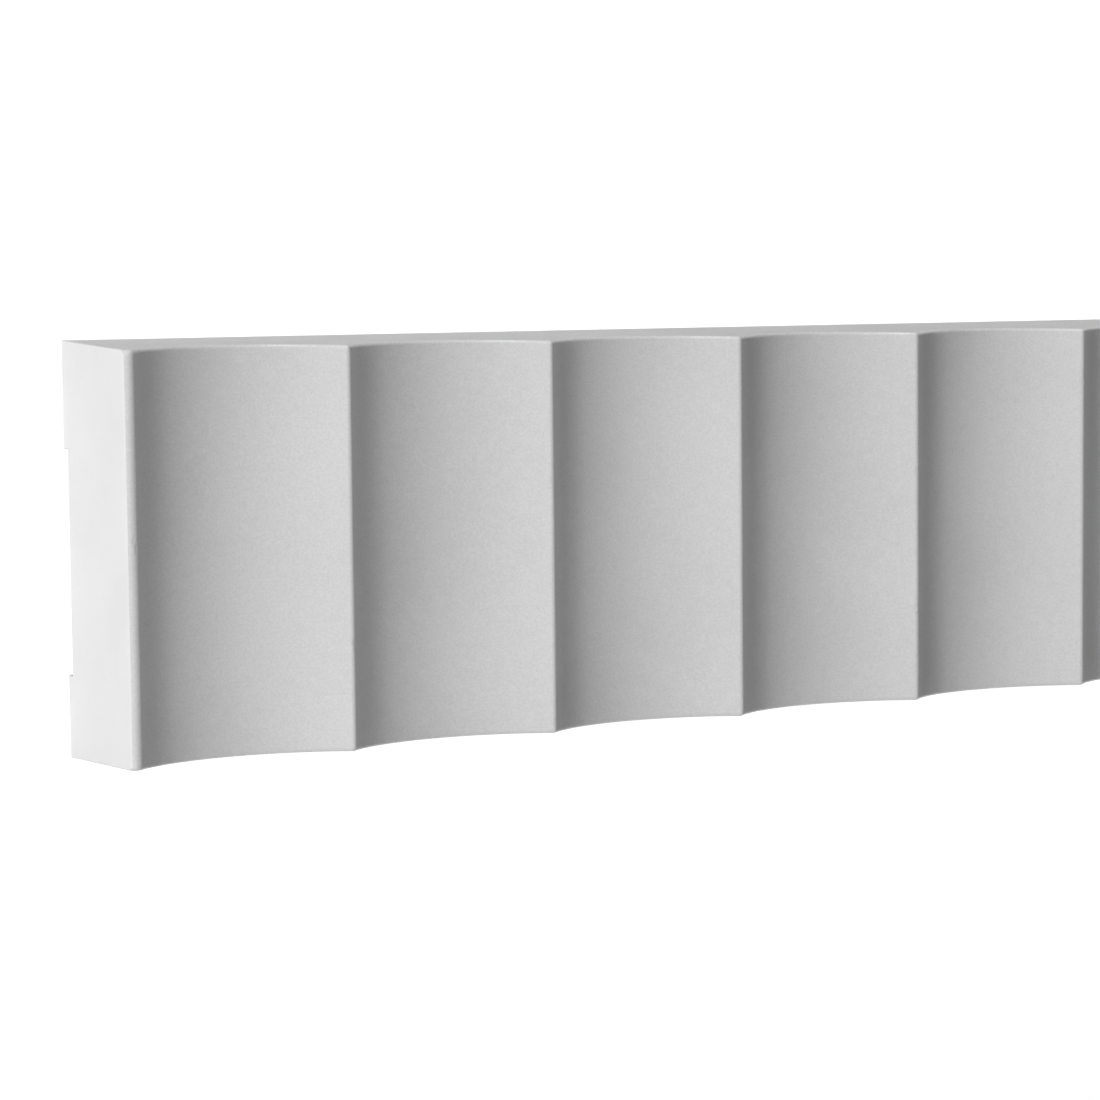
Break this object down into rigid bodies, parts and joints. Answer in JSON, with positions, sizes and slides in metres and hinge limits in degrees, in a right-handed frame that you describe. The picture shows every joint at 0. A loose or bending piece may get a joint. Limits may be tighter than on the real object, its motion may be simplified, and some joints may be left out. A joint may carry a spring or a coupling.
{
  "type": "fluted wall moulding",
  "caption": "Long cast wall moulding with a front of broad concave flutes between narrow rounded ridges, leaning long sides and a shallow relief along its back.",
  "frame": {"origin": "middle of the back, which lies on the floor or against the wall", "axes": "+X along the length, +Y across the height towards the pictured top side, +Z from the back to the fluted front"},
  "size_m": [2, 0.091, 0.036],
  "materials": {
    "primed_polyurethane": "matte white primer over moulded foam skin"
  },
  "bodies": {
    "root": {"fluted_moulding": "primed_polyurethane"}
  },
  "joints": []
}
